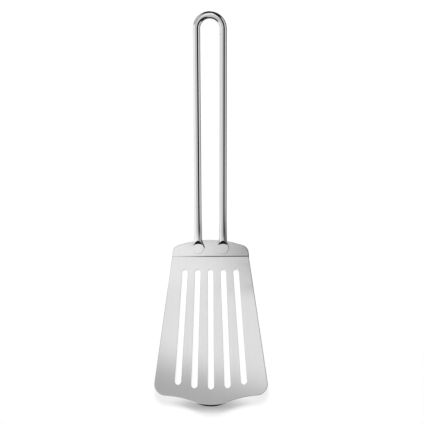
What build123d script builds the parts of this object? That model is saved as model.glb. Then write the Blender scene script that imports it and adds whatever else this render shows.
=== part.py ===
from build123d import *
import math
import os

# A slotted fish spatula: one bent wire handle, welded by its two stamped ends to one bent sheet blade.
# It lies on its back, as it rests on a table: the backs of flange and wire are down, and the blade
# rises from the crease to its tip. +Y runs up the handle, and the food face looks up, along +Z.
# Lengths are in millimetres and angles in degrees.
# Everything is drawn about the crease, where the front faces of flange and blade meet, and is then
# set down on its back.

# Sheet
sheet_thickness = 1.5
rim_rounding = 0.5
crease_inner_radius = 0.8
blade_tilt = 20

# Sides of the sheet, shared by flange and blade
crease_half_width = 30.1
crease_land = 1.0
land_blend_radius = 12
side_flare = 7.8

# Flange
flange_height = 12.9
flange_top_radius = 78
flange_corner_radius = 6.5

# Lower edge of the blade
blade_length = 118.6
blade_corner_radius = 9
nose_radius = 26
nose_half_angle = 24
flank_radius = 72

# Slots, fanned about an apex on the centre line above the crease
slot_count = 5
slot_fan_angle = 1.83
slot_apex_height = 298
slot_head_depth = 10.5
slot_head_width = 4.4
slot_foot_width = 4.9
slot_foot_margin = 13.3
slot_foot_arc_radius = 92
slot_rim_chamfer = 0.2

# Handle wire
wire_diameter = 6
loop_spacing = 20.7
coin_spacing = 19.3
handle_height = 191

# Stamped wire ends, measured along the leg from the middle of the coin
coin_height = 6.85
coin_diameter = 9.4
coin_thickness = 2.6
coin_rounding = 0.4
step_foot = 3.15
step_head = 5.65
step_foot_radius = 6.5
flare_foot = 1.6
flare_foot_half_width = 4.0
shoulder_half_width = 3.25
shoulder_clearance = 0.3
swelling_length = 16
tongue_head_width = 5.2

# Welds
weld_diameter = 6
weld_gap = 0.2

# How far a cutting shape runs past what it cuts
overrun = 1.0

wire_radius = wire_diameter / 2
coin_radius = coin_diameter / 2
coin_face = coin_thickness / 2
loop_radius = loop_spacing / 2
loop_centre_height = handle_height - wire_radius - loop_radius
wire_lift = weld_gap + coin_face
shoulder = flange_height + shoulder_clearance - coin_height
swelling_end = shoulder + swelling_length
slot_foot_depth = blade_length - slot_foot_margin
crease_setback = crease_inner_radius * math.tan(math.radians(blade_tilt / 2))
land_end = crease_setback + crease_land

# On the planes of the sheet, local y runs up the sheet and the normal is the way its front looks
flange_plane = Plane.XY
blade_plane = Plane.XY.rotated((-blade_tilt, 0, 0))


def flange_outline():
    """Flat shape of the flange: a short land at the crease, flared sides and a shallow dome."""
    tall = flange_height + overrun
    head_half_width = crease_half_width - (tall - land_end) * math.tan(math.radians(side_flare))
    sides = Polyline(
        (-crease_half_width, crease_setback),
        (crease_half_width, crease_setback),
        (crease_half_width, land_end),
        (head_half_width, tall),
        (-head_half_width, tall),
        (-crease_half_width, land_end),
        close=True,
    )
    dome = Pos(0, flange_height - flange_top_radius) * Circle(flange_top_radius)
    outline = make_face(sides) & dome
    outline = fillet(outline.vertices().group_by(Axis.Y)[1], land_blend_radius)
    return fillet(outline.vertices().group_by(Axis.Y)[-1], flange_corner_radius)


def lower_edge_and_side():
    """Right half of the blade's edge, from the tip over nose, flank and side up to the crease."""
    turn = math.radians(nose_half_angle)
    flare = math.radians(side_flare)
    nose = CenterArc((0, nose_radius - blade_length), nose_radius, 270, nose_half_angle)
    flank_circle = CenterArc(
        (
            (nose_radius + flank_radius) * math.sin(turn),
            nose_radius - blade_length - (nose_radius + flank_radius) * math.cos(turn),
        ),
        flank_radius,
        0,
        180,
    )
    land = Line((crease_half_width, -crease_setback), (crease_half_width, -land_end))
    side = IntersectingLine(land @ 1, (math.sin(flare), -math.cos(flare)), flank_circle)
    flank = TangentArc(nose @ 1, side @ 1, tangent=nose % 1)
    return Curve() + [nose, flank, side, land]


def slot(place):
    """One tapered drain slot. The place counts slots outwards from the centre line."""
    slant = math.tan(math.radians(place * slot_fan_angle))
    head_depth = slot_head_depth + slot_head_width / 2
    foot_depth = slot_foot_depth - slot_foot_width / 2
    foot_reach = (slot_apex_height + foot_depth) * slant
    foot_depth -= slot_foot_arc_radius - math.sqrt(slot_foot_arc_radius**2 - foot_reach**2)
    head = Pos((slot_apex_height + head_depth) * slant, -head_depth) * Circle(slot_head_width / 2)
    foot = Pos((slot_apex_height + foot_depth) * slant, -foot_depth) * Circle(slot_foot_width / 2)
    return make_hull([*head.edges(), *foot.edges()])


def blade_outline():
    """Flat shape of the blade below the crease, without its slots."""
    half = lower_edge_and_side()
    across = Line((-crease_half_width, -crease_setback), (crease_half_width, -crease_setback))
    outline = make_face(half + mirror(half, Plane.YZ) + across)
    outline = fillet(outline.vertices().group_by(Axis.Y)[-2], land_blend_radius)
    heels = outline.vertices().group_by(Axis.X)
    return fillet([heels[0], heels[-1]], blade_corner_radius)


def sheet(plane, outline, slots=()):
    """The outline as a sheet behind the plane, with all its rims rounded but the one at the crease."""
    plate = extrude(plane * outline, -sheet_thickness)
    through = plate.edges().filter_by(Axis(plane.origin, plane.z_dir))
    at_crease = plate.edges().filter_by(Axis.X)
    plate = fillet(plate.edges() - through - at_crease, rim_rounding)
    for opening in slots:
        plate -= extrude(plane.offset(overrun) * opening, -sheet_thickness - 2 * overrun)
    slot_rims = [wire.edges() for face in plate.faces().filter_by(plane) for wire in face.inner_wires()]
    return chamfer(slot_rims, slot_rim_chamfer) if slot_rims else plate


def crease_strip():
    """The bent strip between flange and blade: the rounded section of the sheet, turned by the tilt."""
    outline = RectangleRounded(2 * crease_half_width, sheet_thickness, rim_rounding)
    section = Plane.XZ.offset(-crease_setback) * Pos(0, -sheet_thickness / 2) * outline
    hinge = Axis((0, crease_setback, crease_inner_radius), (-1, 0, 0))
    return revolve(section, hinge, blade_tilt)


def blade():
    """The whole sheet: flange, crease and slotted blade in one piece."""
    outermost = slot_count // 2
    slots = [slot(place) for place in range(-outermost, outermost + 1)]
    return sheet(flange_plane, flange_outline()) + crease_strip() + sheet(blade_plane, blade_outline(), slots)


def leg_lean():
    """How far each straight leg leans in from the loop to its coin, in degrees."""
    reach = coin_spacing / 2
    drop = loop_centre_height - coin_height
    return math.degrees(math.atan2(drop, reach) - math.acos(loop_radius / math.hypot(reach, drop)))


def round_wire():
    """The U of round wire, down to where the stamping begins to swell it."""
    lean = math.radians(leg_lean())
    hip = (loop_radius * math.cos(lean), loop_centre_height - loop_radius * math.sin(lean))
    top = (0, loop_centre_height + loop_radius)
    foot = (
        coin_spacing / 2 + swelling_end * math.sin(lean),
        coin_height + swelling_end * math.cos(lean),
    )
    path = Curve() + [
        Line((-foot[0], foot[1]), (-hip[0], hip[1])),
        ThreePointArc((-hip[0], hip[1]), top, hip),
        Line(hip, foot),
    ]
    path = Pos(0, 0, wire_lift) * path
    return sweep(Plane(path @ 0, z_dir=path % 0) * Circle(wire_radius), path)


def coin():
    """The flat tongue of one stamped end: a round coin with sides that run up into the wire."""
    head = Line((-tongue_head_width / 2, step_head), (tongue_head_width / 2, step_head))
    tongue = extrude(make_hull([*Circle(coin_radius).edges(), *head.edges()]), coin_face, both=True)
    return fillet(tongue.edges() - tongue.edges().filter_by(Axis.Z), coin_rounding)


def wire_section(height, half_width):
    """Outline of the stamped wire at one height. The stamp widens it but leaves its depth."""
    return Plane.XZ.offset(-height) * Ellipse(half_width, wire_radius)


def front_punch():
    """The cone that a round punch leaves above the coin's face. Its wall steps up into the wire."""
    clear_height = wire_radius + overrun - coin_face
    slope = (step_head - step_foot) / (wire_radius - coin_face)
    mouth_radius = step_foot_radius + clear_height * slope
    low = (Align.CENTER, Align.CENTER, Align.MIN)
    cone = Cone(step_foot_radius, mouth_radius, clear_height, align=low)
    return Pos(0, step_foot - step_foot_radius, coin_face) * cone


def back_step():
    """The block that the flange takes out of the back of the wire, up to the shoulder."""
    below = flare_foot - overrun
    clear = wire_radius + overrun
    side = Polyline(
        (below, -coin_face),
        (shoulder, -coin_face),
        (shoulder, -clear),
        (below, -clear),
        close=True,
    )
    return extrude(Plane.YZ * make_face(side), flare_foot_half_width + overrun, both=True)


def stamped_end():
    """One end of the wire, swollen by the stamp, stepped down to its coin and centred on it."""
    neck = wire_section(shoulder, shoulder_half_width)
    swelling = loft([neck, wire_section(swelling_end, wire_radius)])
    flare = loft([wire_section(flare_foot, flare_foot_half_width), neck])
    return swelling + (flare - front_punch() - back_step()) + coin()


def handle_wire():
    """The whole wire: the round U with both of its stamped ends."""
    right = Pos(coin_spacing / 2, coin_height, wire_lift) * Rot(0, 0, -leg_lean()) * stamped_end()
    return round_wire() + right + mirror(right, Plane.YZ)


def weld(side):
    """The disc of fused metal between one coin and the flange. The side is -1 for left, 1 for right."""
    return Pos(side * coin_spacing / 2, coin_height) * extrude(Circle(weld_diameter / 2), weld_gap)


pieces = {
    "blade": blade(),
    "handle_wire": handle_wire(),
    "weld_left": weld(-1),
    "weld_right": weld(1),
}

# The origin lies on the surface that the part rests on, under the middle of its bounding box
extent = Compound(children=[Part() + piece for piece in pieces.values()]).bounding_box()
set_down = Pos(-extent.center().X, -extent.center().Y, -extent.min.Z)

os.makedirs("parts", exist_ok=True)
for name, piece in pieces.items():
    export_step(set_down * piece, f"parts/{name}.step")
    print(name, round(piece.volume), "mm3")
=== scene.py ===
"""A slotted fish spatula lying on a pale table, seen from above at the photograph's angle."""

import math

import bmesh
import bpy
from mathutils import Matrix, Quaternion, Vector

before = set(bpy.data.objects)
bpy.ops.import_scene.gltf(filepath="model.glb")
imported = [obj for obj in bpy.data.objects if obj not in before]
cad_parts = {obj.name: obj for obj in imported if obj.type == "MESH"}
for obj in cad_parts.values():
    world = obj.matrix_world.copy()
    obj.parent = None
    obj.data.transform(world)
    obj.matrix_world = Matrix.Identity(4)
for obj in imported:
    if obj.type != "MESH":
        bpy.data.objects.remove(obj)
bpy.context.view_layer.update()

# Lengths are in metres and angles in radians, but for the studio's angles, which are in degrees
MM = 0.001

# Where flange and blade meet, and how the blade rises from there
crease = Vector((0, -39.59, 1.5)) * MM
blade_tilt = math.radians(20)
flange_normal = Vector((0, 0, 1))
blade_normal = Vector((0, math.sin(blade_tilt), math.cos(blade_tilt)))
down_the_blade = Vector((0, -math.cos(blade_tilt), math.sin(blade_tilt)))
up_the_handle = Vector((0, 1, 0))
blade_length = 118.6 * MM
nose_radius = 26 * MM

# Painted shadow along the rim of the nose, in place of a contact shadow at the tip: its width at the tip,
# how far to each side it keeps that width and runs out, and how far below the middle of the nose it
# begins
nose_shadow_width = 1.1 * MM
nose_shadow_full = 3 * MM
nose_shadow_end = 12 * MM
nose_shadow_start = 20 * MM
nose_shadow_blend = 2 * MM

# Stamped ends of the wire: middle and front of each coin, and the cone that the punch left above it
coin_x = 9.65 * MM
coin_y = -32.74 * MM
coin_front = 4.3 * MM
punch_y = -36.09 * MM
punch_radius = 6.5 * MM
punch_slope = 1.47

# Painted shadow line beside the left coin: the way across it, and where it starts and stops up from the
# coin
coin_shadow_across = (0.928, 0.371)
coin_shadow_foot = (-0.8 * MM, 0.4 * MM)
coin_shadow_head = (6.4 * MM, 5.6 * MM)

# Inside of the handle's bend, at its top
loop_top = Vector((0, 145.41, 3)) * MM

# How alike a rounded and a true normal are on an open face, and on a fully worn edge
face_likeness = 0.995
edge_likeness = 0.9

# Sockets of a Mix node that take its two colours, and the one that gives the mixed colour
mix_low = 6
mix_high = 7
mix_result = 2

# Camera, above the middle of the spatula and leaning a little towards the handle's loop
camera_distance = 1.8
camera_lean = math.radians(5)
camera_roll = math.radians(-0.2)
camera_aim = Vector((1.27, -4.81, 1.5)) * MM
camera_back = Vector((0, math.sin(camera_lean), math.cos(camera_lean)))
camera_reach = 20
view_width = 330.7 * MM
sensor_width = 36

# Table, and the spot under the tip where it keeps the shadow: its middle, its reach across and along,
# the part of that reach with the darkest shadow, and the share of plain white in it and elsewhere
white = (1, 1, 1, 1)
table_size = 6.0
table_gap = 0.05 * MM
table_colour = (0.95, 0.95, 0.95, 1)
under_tip = -157.2 * MM
shadow_reach = (40 * MM, 8.6 * MM)
shadow_core = 0.1
plain_under_tip = 0.1
plain_elsewhere = 0.78

# Lamp, and the dim, even light that the surroundings give to matt surfaces
lamp_place = (-0.02, 0.34, 1.4)
lamp_size = 0.16
lamp_power = 18.4
fill_level = 0.3

# Levels of the surroundings by angle about the handle: 0 degrees is overhead, and 90 is to the right.
# The tilted blade mirrors what is further on towards the loop, where its own levels take over.
right_levels = [(54, 0), (58, 0.78), (84, 0.78), (92, 0.12), (130, 0.12), (165, 1)]
handle_levels = [(-180, 1), (-50, 1), (-44, 0.62), (10, 0.62), (13, 0), *right_levels]
blade_levels = [(-180, 0.5), (-32, 0.5), (-15, 1), (14, 1), (19, 0), *right_levels]
blade_levels_from = 0.1
blade_levels_to = 0.3

# Cards: how far they are from the faces that mirror them, and the slant of the one at the blade's foot
flange_card_distance = 20 * MM
foot_card_distance = 60 * MM
foot_card_turn = math.radians(-16)


class Value:
    """A socket of a material. Sums, products and powers of values add their Math nodes."""

    def __init__(self, graph, socket):
        self.graph = graph
        self.socket = socket

    def maths(self, operation, *terms):
        return self.graph.node("ShaderNodeMath", {"operation": operation}, dict(enumerate(terms)))

    def __add__(self, other):
        return self.maths("ADD", self, other)

    def __radd__(self, other):
        return self.maths("ADD", other, self)

    def __sub__(self, other):
        return self.maths("SUBTRACT", self, other)

    def __rsub__(self, other):
        return self.maths("SUBTRACT", other, self)

    def __mul__(self, other):
        return self.maths("MULTIPLY", self, other)

    def __rmul__(self, other):
        return self.maths("MULTIPLY", other, self)

    def __truediv__(self, other):
        return self.maths("DIVIDE", self, other)

    def __pow__(self, other):
        return self.maths("POWER", self, other)

    def __abs__(self):
        return self.maths("ABSOLUTE", self)


class Graph:
    """The nodes of one material or of the world, built up from its inputs to its output."""

    def __init__(self, owner):
        owner.use_nodes = True
        self.tree = owner.node_tree
        self.tree.nodes.clear()

    def node(self, kind, settings=None, inputs=None, output=0):
        """Adds a node with its settings, then its values or links, and gives one of its outputs."""
        made = self.tree.nodes.new(kind)
        for name, value in (settings or {}).items():
            if name == "stops":
                self.set_stops(made.color_ramp, value)
            else:
                setattr(made, name, value)
        for name, value in (inputs or {}).items():
            if isinstance(value, Value):
                self.tree.links.new(value.socket, made.inputs[name])
            else:
                made.inputs[name].default_value = value
        return Value(self, made.outputs[output])

    @staticmethod
    def set_stops(ramp, stops):
        while len(ramp.elements) < len(stops):
            ramp.elements.new(1)
        for element, (position, level) in zip(ramp.elements, stops):
            element.position = position
            element.color = (level, level, level, 1)

    def finish(self, surface, kind="ShaderNodeOutputMaterial"):
        end = self.tree.nodes.new(kind)
        self.tree.links.new(surface.socket, end.inputs["Surface"])


def place(graph):
    return graph.node("ShaderNodeTexCoord", output="Object")


def along(graph, axis):
    """One coordinate of the place on the piece: 0 across, 1 up the handle, 2 up from the table."""
    return graph.node("ShaderNodeSeparateXYZ", inputs={0: place(graph)}, output=axis)


def noise(graph, scale, detail=2, roughness=0.5):
    """Noise stretched so that it is finer along one axis than along another."""
    stretched = graph.node("ShaderNodeMapping", inputs={"Vector": place(graph), "Scale": scale})
    return graph.node(
        "ShaderNodeTexNoise",
        inputs={"Vector": stretched, "Scale": 1, "Detail": detail, "Roughness": roughness},
    )


def fade(graph, value, start, end, low=0.0, high=1.0):
    """Goes smoothly from low at the start to high at the end."""
    return graph.node(
        "ShaderNodeMapRange",
        {"interpolation_type": "SMOOTHSTEP"},
        {"Value": value, "From Min": start, "From Max": end, "To Min": low, "To Max": high},
    )


def grey(level):
    return (level, level, level, 1)


def mixed(graph, factor, low, high):
    """A colour between two others. Each of them is a colour or the output of another node."""
    return graph.node(
        "ShaderNodeMix",
        {"data_type": "RGBA"},
        {"Factor": factor, mix_low: low, mix_high: high},
        output=mix_result,
    )


def worn_edges(graph, reach):
    """Near 1 along the edges of a piece, where handling rubs it, and 0 on its open faces."""
    rounded = graph.node("ShaderNodeBevel", {"samples": 8}, {"Radius": reach})
    true = graph.node("ShaderNodeNewGeometry", output="Normal")
    likeness = graph.node(
        "ShaderNodeVectorMath", {"operation": "DOT_PRODUCT"}, {0: rounded, 1: true}, output="Value"
    )
    return fade(graph, likeness, face_likeness, edge_likeness)


def metal(graph, colour, roughness, bump):
    """Ends a metal's graph with its colour, roughness and bump."""
    graph.finish(
        graph.node(
            "ShaderNodeBsdfPrincipled",
            inputs={"Base Color": colour, "Metallic": 1.0, "Roughness": roughness, "Normal": bump},
        )
    )


def painted_coin_shadow(graph, near, far):
    """
    A dark line of painted shadow along the inner side of the left coin and its tongue. Across the
    line, it darkens over the near pair of distances from the coin's middle and ends over the far pair.
    """
    off_x = along(graph, 0) + coin_x
    off_y = along(graph, 1) - coin_y
    off_side = off_x * coin_shadow_across[0] + off_y * coin_shadow_across[1]
    beside = fade(graph, off_y, *coin_shadow_foot) * fade(graph, off_y, *coin_shadow_head)
    return beside * fade(graph, off_side, *near) * fade(graph, off_side, *far)


def painted_nose_shadow(graph):
    """Painted shadow on the rim of the nose. It is widest at the tip and runs out to both sides."""
    across = along(graph, 0)
    below_centre = (crease.y - along(graph, 1)) / math.cos(blade_tilt) - blade_length + nose_radius
    off_rim = nose_radius - (across * across + below_centre * below_centre) ** 0.5
    width = fade(graph, abs(across), nose_shadow_full, nose_shadow_end, nose_shadow_width, 0)
    low_enough = fade(graph, below_centre, nose_shadow_start, nose_shadow_start + nose_shadow_blend)
    near_tip = low_enough * fade(graph, abs(across), nose_shadow_end, nose_shadow_end - nose_shadow_blend)
    return near_tip * fade(graph, off_rim - width, 0.1 * MM, -0.2 * MM)


def brushed_steel():
    """
    Satin sheet, brushed along its length. Painted shade darkens the crease where the press bent it,
    fainter to the left, and painted shadow darkens a line beside the left coin and the rim of its nose.
    """
    material = bpy.data.materials.new("brushed_steel")
    graph = Graph(material)
    grain = noise(graph, (2600, 18, 18), detail=3, roughness=0.6)
    streaks = noise(graph, (420, 7, 7), detail=2)
    haze = noise(graph, (24, 16, 16), detail=3)
    worn = worn_edges(graph, 0.5 * MM) * fade(graph, noise(graph, (160, 160, 160), detail=3), 0.35, 0.65)
    off_crease = abs(along(graph, 1) - crease.y)
    # Painted shade along the crease of the bend, fainter to the left, where more light falls into it
    crease_shade_depth = fade(graph, along(graph, 0), -30 * MM, 2 * MM, low=0.25)
    crease_shade = fade(graph, off_crease, 0.5 * MM, 0.25 * MM) * crease_shade_depth
    coin_shadow = painted_coin_shadow(graph, (4.5 * MM, 4.6 * MM), (5.1 * MM, 4.95 * MM))
    nose_shadow = painted_nose_shadow(graph)
    colour = mixed(graph, grain * 0.5 + streaks * 0.5, grey(0.74), grey(0.84))
    colour = mixed(graph, worn * 0.5, colour, grey(0.9))
    colour = mixed(graph, crease_shade * 0.92, colour, grey(0.07))
    # Painted shadow beside the left coin, on the flange
    colour = mixed(graph, coin_shadow * 0.9, colour, grey(0.05))
    # Painted shadow, near black, on the rim of the nose
    colour = mixed(graph, nose_shadow, colour, grey(0.02))
    roughness = 0.2 + grain * 0.06 + haze * 0.05 - worn * 0.06 + nose_shadow * 0.3
    bump = graph.node(
        "ShaderNodeBump",
        inputs={"Strength": 0.3, "Distance": 0.004 * MM, "Height": grain * 0.7 + streaks * 0.3},
    )
    metal(graph, colour, roughness, bump)
    return material


def step_wall(graph):
    """1 on the conical wall that the punch left in both ends of the wire, and 0 elsewhere."""
    off_x = abs(along(graph, 0)) - coin_x
    off_y = along(graph, 1) - punch_y
    above_coin = along(graph, 2) - coin_front
    off_wall = abs((off_x * off_x + off_y * off_y) ** 0.5 - above_coin * punch_slope - punch_radius)
    return fade(graph, off_wall, 0.3 * MM, 0.15 * MM) * fade(graph, above_coin, 0.02 * MM, 0.12 * MM)


def polished_wire():
    """Bright drawn wire, with satin coins and near-black painted shade in the steps above them."""
    material = bpy.data.materials.new("polished_wire")
    graph = Graph(material)
    lines = noise(graph, (1900, 14, 1900), detail=2)
    smudge = noise(graph, (60, 40, 60), detail=3)
    worn = worn_edges(graph, 0.3 * MM) * fade(graph, noise(graph, (300, 300, 300), detail=2), 0.4, 0.6)
    stamped = fade(graph, along(graph, 1), coin_y + 3.4 * MM, coin_y + 3.0 * MM)
    scale = step_wall(graph)
    coin_shadow = painted_coin_shadow(graph, (4.1 * MM, 4.3 * MM), (7.0 * MM, 6.9 * MM))
    colour = mixed(graph, smudge, grey(0.8), grey(0.88))
    colour = mixed(graph, stamped, colour, mixed(graph, lines, grey(0.74), grey(0.82)))
    colour = mixed(graph, worn * 0.4, colour, grey(0.9))
    # Painted shade, near black, in the punched steps above the coins, which are also rougher
    colour = mixed(graph, scale, colour, grey(0.015))
    # Painted shadow along the tongue of the left coin
    colour = mixed(graph, coin_shadow * 0.9, colour, grey(0.03))
    roughness = 0.03 + lines * 0.02 + smudge * 0.03 + stamped * 0.14 + scale * 0.3
    bump = graph.node(
        "ShaderNodeBump", inputs={"Strength": 0.05, "Distance": 0.002 * MM, "Height": lines}
    )
    metal(graph, colour, roughness, bump)
    return material


def weld_metal():
    """Fused metal, rough and a little scorched."""
    material = bpy.data.materials.new("weld_metal")
    graph = Graph(material)
    ripple = noise(graph, (900, 900, 900), detail=3)
    worn = worn_edges(graph, 0.05 * MM)
    bump = graph.node("ShaderNodeBump", inputs={"Strength": 0.5, "Distance": 0.03 * MM, "Height": ripple})
    colour = mixed(graph, worn * 0.4, mixed(graph, ripple, grey(0.3), grey(0.55)), grey(0.65))
    metal(graph, colour, 0.4 + ripple * 0.2, bump)
    return material


def dress(node, material):
    """Gives a CAD node its finish."""
    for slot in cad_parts[node].material_slots:
        slot.material = material


def flat_piece(name, width, height):
    """A flat rectangle about its own origin, for the studio."""
    shape = bmesh.new()
    bmesh.ops.create_grid(shape, x_segments=1, y_segments=1, size=0.5)
    bmesh.ops.scale(shape, vec=(width, height, 1), verts=shape.verts)
    mesh = bpy.data.meshes.new(name)
    shape.to_mesh(mesh)
    shape.free()
    made = bpy.data.objects.new(name, mesh)
    bpy.context.scene.collection.objects.link(made)
    return made


def table():
    """
    The pale table. The camera sees it as mostly plain white, with only a faint shadow, but for the spot
    under the tip, where it keeps nearly all of the shadow. From below it can be looked through.
    """
    made = flat_piece("table", table_size, table_size)
    made.location.z = -table_gap
    made.visible_glossy = False
    material = bpy.data.materials.new("pale_table")
    graph = Graph(material)
    camera_ray = graph.node("ShaderNodeLightPath", output="Is Camera Ray")
    from_below = graph.node("ShaderNodeNewGeometry", output="Backfacing")
    off_x = along(graph, 0) / shadow_reach[0]
    off_y = (along(graph, 1) - under_tip) / shadow_reach[1]
    off_tip = (off_x * off_x + off_y * off_y) ** 0.5
    plain_share = camera_ray * fade(graph, off_tip, shadow_core, 1, plain_under_tip, plain_elsewhere)
    lit = graph.node("ShaderNodeBsdfDiffuse", inputs={"Color": table_colour})
    plain = graph.node("ShaderNodeEmission", inputs={"Color": white, "Strength": 1.0})
    clear = graph.node("ShaderNodeBsdfTransparent")
    above = graph.node("ShaderNodeMixShader", inputs={0: plain_share, 1: lit, 2: plain})
    graph.finish(graph.node("ShaderNodeMixShader", inputs={0: from_below, 1: above, 2: clear}))
    made.data.materials.append(material)


def card(name, centre, facing, size, level, soft, turn=0.0):
    """
    A studio card that only reflections show. A level of 0 is black, and 1 is white. The soft pair is how
    far its edges fade along each of its sides, and the turn is within its own plane.
    """
    made = flat_piece(name, *size)
    made.location = centre
    made.rotation_mode = "QUATERNION"
    made.rotation_quaternion = Vector(facing).to_track_quat("Z", "Y") @ Quaternion((0, 0, 1), turn)
    made.visible_camera = False
    made.visible_diffuse = False
    made.visible_shadow = False
    made.visible_transmission = False
    material = bpy.data.materials.new(name)
    graph = Graph(material)
    inside = 1.0
    for axis in range(2):
        inside = inside * fade(graph, size[axis] / 2 - abs(along(graph, axis)), 0, soft[axis])
    clear = graph.node("ShaderNodeBsdfTransparent")
    glow = graph.node("ShaderNodeEmission", inputs={"Color": white, "Strength": level})
    graph.finish(graph.node("ShaderNodeMixShader", inputs={0: inside, 1: clear, 2: glow}))
    made.data.materials.append(material)


def mirrored(spot, normal, distance):
    """The place that the camera sees mirrored in a flat face at the spot."""
    return spot + (2 * normal.dot(camera_back) * normal - camera_back) * distance


def lamp(name, spot, size, power):
    """A soft lamp that lights the table and throws the shadow. Reflections show the studio instead."""
    light = bpy.data.lights.new(name, "AREA")
    light.shape = "DISK"
    light.size = size
    light.energy = power
    made = bpy.data.objects.new(name, light)
    bpy.context.scene.collection.objects.link(made)
    made.location = spot
    made.rotation_mode = "QUATERNION"
    made.rotation_quaternion = (-Vector(spot)).to_track_quat("-Z", "Y")
    made.visible_glossy = False


def around(graph, degrees, stops):
    """A level that follows an angle from -180 to 180 degrees."""
    return graph.node(
        "ShaderNodeValToRGB",
        {"stops": [((angle + 180) / 360, level) for angle, level in stops]},
        {"Fac": degrees / 360 + 0.5},
    )


def surroundings():
    """
    The studio that reflections show: a left side that is white for the handle and grey for the blade, a
    ceiling that is grey for the handle and white for the blade, a black strip right of the camera and a
    pale wall beyond it. The camera sees plain white instead, and matt surfaces get a dim, even light.
    """
    world = bpy.data.worlds.new("studio")
    bpy.context.scene.world = world
    graph = Graph(world)
    way = graph.node("ShaderNodeTexCoord", output="Generated")
    across, onward, upward = (
        graph.node("ShaderNodeSeparateXYZ", inputs={0: way}, output=axis) for axis in range(3)
    )
    roll = across.maths("ARCTAN2", across, upward) * math.degrees(1)
    over_handle = around(graph, roll, handle_levels)
    over_blade = around(graph, roll, blade_levels)
    blade_share = fade(graph, onward, blade_levels_from, blade_levels_to)
    lit = over_handle + (over_blade - over_handle) * blade_share
    camera_ray = graph.node("ShaderNodeLightPath", output="Is Camera Ray")
    diffuse_ray = graph.node("ShaderNodeLightPath", output="Is Diffuse Ray")
    lit = lit * (1 - camera_ray) + camera_ray
    strength = lit * (1 - diffuse_ray) + diffuse_ray * fill_level
    graph.finish(
        graph.node("ShaderNodeBackground", inputs={"Color": white, "Strength": strength}),
        "ShaderNodeOutputWorld",
    )


def camera():
    data = bpy.data.cameras.new("camera")
    data.sensor_width = sensor_width
    data.lens = sensor_width * camera_distance / view_width
    data.clip_end = camera_reach
    made = bpy.data.objects.new("camera", data)
    bpy.context.scene.collection.objects.link(made)
    turn = Matrix.Rotation(-camera_lean, 4, "X") @ Matrix.Rotation(camera_roll, 4, "Z")
    made.matrix_world = Matrix.Translation(camera_aim + camera_back * camera_distance) @ turn
    bpy.context.scene.camera = made


dress("blade", brushed_steel())
dress("handle_wire", polished_wire())
weld_finish = weld_metal()
dress("weld_left", weld_finish)
dress("weld_right", weld_finish)

table()
surroundings()
camera()
lamp("key", lamp_place, lamp_size, lamp_power)

# Cards close to the sheet: a light one over the flange, a dark one at its right, which also shades the
# blade's upper corner, and a grey one over the foot of the blade
flange_left = mirrored(crease + Vector((-40, 3, 0)) * MM, flange_normal, flange_card_distance)
card("flange_light", flange_left, flange_normal, (160 * MM, 38 * MM), 1.0, (60 * MM, 10 * MM))
flange_right = mirrored(crease + Vector((82, 6, 0)) * MM, flange_normal, flange_card_distance)
card("flange_shade", flange_right, flange_normal, (200 * MM, 70 * MM), 0.0, (85 * MM, 35 * MM))
foot = mirrored(crease + down_the_blade * 143 * MM, blade_normal, foot_card_distance)
card("foot_shade", foot, blade_normal, (240 * MM, 120 * MM), 0.5, (35 * MM, 35 * MM), foot_card_turn)

# Two dark cards, inside and outside the bend of the handle, line the edges of its crown
in_loop = loop_top + Vector((0, -12, 0)) * MM
card("inner_crown_shade", in_loop, up_the_handle, (13.5 * MM, 26 * MM), 0.06, (2 * MM, 5 * MM))
past_loop = loop_top + Vector((8, 19, 0)) * MM
card("outer_crown_shade", past_loop, up_the_handle, (60 * MM, 30 * MM), 0.02, (15 * MM, 5 * MM))

bpy.context.scene.view_settings.view_transform = "Standard"
